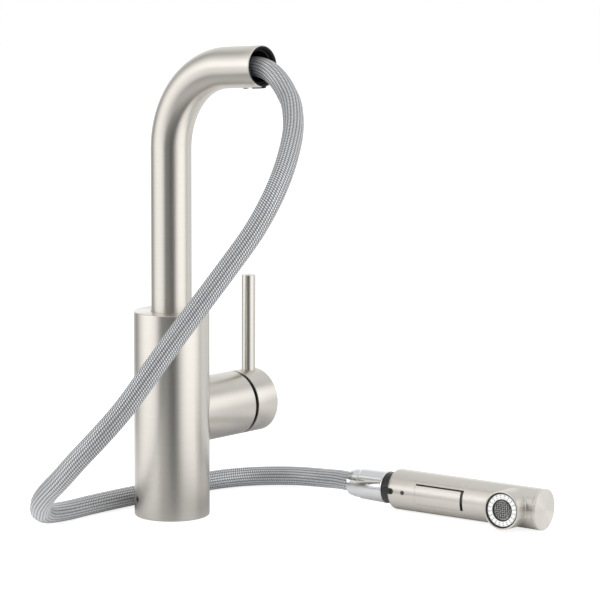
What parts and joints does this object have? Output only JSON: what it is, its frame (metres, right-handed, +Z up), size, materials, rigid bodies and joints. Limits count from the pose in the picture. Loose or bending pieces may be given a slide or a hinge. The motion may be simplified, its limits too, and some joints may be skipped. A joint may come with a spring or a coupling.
{
  "type": "pull-out kitchen faucet",
  "caption": "Single-lever kitchen faucet with a round body, a swivelling bent spout and a pull-out spray on a braided hose, lying beside it.",
  "frame": {"origin": "centre of the base's underside, on the counter", "axes": "+Z up along the body; the spout's outlet points to -Y; the lever is on the +X side"},
  "size_m": [0.3494, 0.2705, 0.3338],
  "materials": {
    "brushed_steel": "brushed, satin",
    "steel_bright": "smooth, machined",
    "steel_dark": "dark oxide",
    "chrome": "polished",
    "brass": "machined",
    "copper": "drawn tube",
    "black_plastic": "moulded, slightly glossy",
    "grey_plastic": "moulded, matt",
    "white_plastic": "moulded, satin",
    "clear_white": "natural nylon",
    "ceramic": "lapped ceramic",
    "green_plastic": "moulded",
    "rubber": "moulded rubber",
    "hose_braid": "braided polymer yarn"
  },
  "bodies": {
    "body": {"body_shell": "brushed_steel", "base_plate": "brass", "base_gasket": "rubber", "base_screw": "steel_dark", "hose_guide": "black_plastic", "hot_tube": "copper", "cold_tube": "copper", "mixed_tube": "copper", "valve_manifold": "brass", "valve_housing": "brushed_steel", "cartridge_seal": "rubber", "cartridge_case": "white_plastic", "cartridge_foot": "grey_plastic", "fixed_disc": "ceramic", "cartridge_nut": "brass", "dome_ring": "black_plastic", "spout_carrier": "steel_bright", "upper_bush": "clear_white", "lower_bush": "clear_white", "spout_o_ring": "rubber", "hose_tail": "brass", "hose_in_body": "hose_braid", "hose_upper": "hose_braid", "hose_lower": "hose_braid"},
    "spout": {"spout_tube": "brushed_steel", "spout_clip": "steel_bright", "dock_sleeve": "black_plastic", "dock_screw": "steel_dark", "hose_in_spout": "hose_braid"},
    "valve_turner": {"stem_turner": "clear_white", "stem_pin": "steel_bright"},
    "valve_disc": {"moving_disc": "ceramic"},
    "lever": {"lever_stem": "brass", "lever_cap": "brushed_steel", "lever_rod": "brushed_steel", "lever_grub_screw": "steel_dark"},
    "hose_end": {"hose_nut": "chrome", "hose_ferrule": "brass", "hose_washer": "rubber"},
    "spray": {"spray_shell": "brushed_steel", "spray_collar": "black_plastic", "spray_screw": "steel_dark", "spray_end_cap": "brushed_steel", "spray_waterway": "clear_white", "check_valve": "green_plastic", "nozzle_collar": "brushed_steel", "nozzle_insert": "black_plastic", "spray_face": "white_plastic", "aerator_ring": "black_plastic", "aerator_mesh": "steel_bright", "button_pin": "steel_bright", "button_spring": "steel_bright"},
    "button": {"spray_button": "brushed_steel"},
    "diverter": {"diverter_plunger": "clear_white"}
  },
  "joints": [
    {"name": "spout_swivel", "type": "hinge", "parent": "body", "child": "spout", "pos_m": [0, 0, 0.145], "axis": [0, 0, 1], "range_deg": [-60, 60], "deforming": ["hose_upper"]},
    {"name": "lever_turn", "type": "hinge", "parent": "body", "child": "valve_turner", "pos_m": [0.043, 0, 0.071], "axis": [1, 0, 0], "range_deg": [-45, 45]},
    {"name": "lever_tilt", "type": "hinge", "parent": "valve_turner", "child": "lever", "pos_m": [0.043, 0, 0.071], "axis": [0, 1, 0], "range_deg": [0, 22]},
    {"name": "disc_slide", "type": "slide", "parent": "valve_turner", "child": "valve_disc", "axis": [0, 0, 1], "range_m": [0, 0.0024]},
    {"name": "spray_lift", "type": "slide", "parent": "body", "child": "hose_end", "axis": [0, 0, 1], "range_m": [0, 0.06], "deforming": ["hose_lower"]},
    {"name": "spray_turn", "type": "hinge", "parent": "hose_end", "child": "spray", "pos_m": [0.122, -0.106, 0.0144], "axis": [0.1564, -0.9877, 0], "continuous": true},
    {"name": "button_press", "type": "hinge", "parent": "spray", "child": "button", "pos_m": [0.11548, -0.13184, 0.01504], "axis": [0.0603, 0.0095, 0.9981], "range_deg": [0, 4], "stiffness_Nm_per_rad": 1.5, "springref_deg": -4.58, "deforming": ["button_spring"]},
    {"name": "diverter_slide", "type": "slide", "parent": "spray", "child": "diverter", "axis": [0.9858, 0.1561, -0.061], "range_m": [0, 0.0016]}
  ],
  "couplings": [
    {"joint": "disc_slide", "follows": "lever_tilt", "m_per_rad": 0.0059},
    {"joint": "diverter_slide", "follows": "button_press", "m_per_rad": 0.0215}
  ]
}
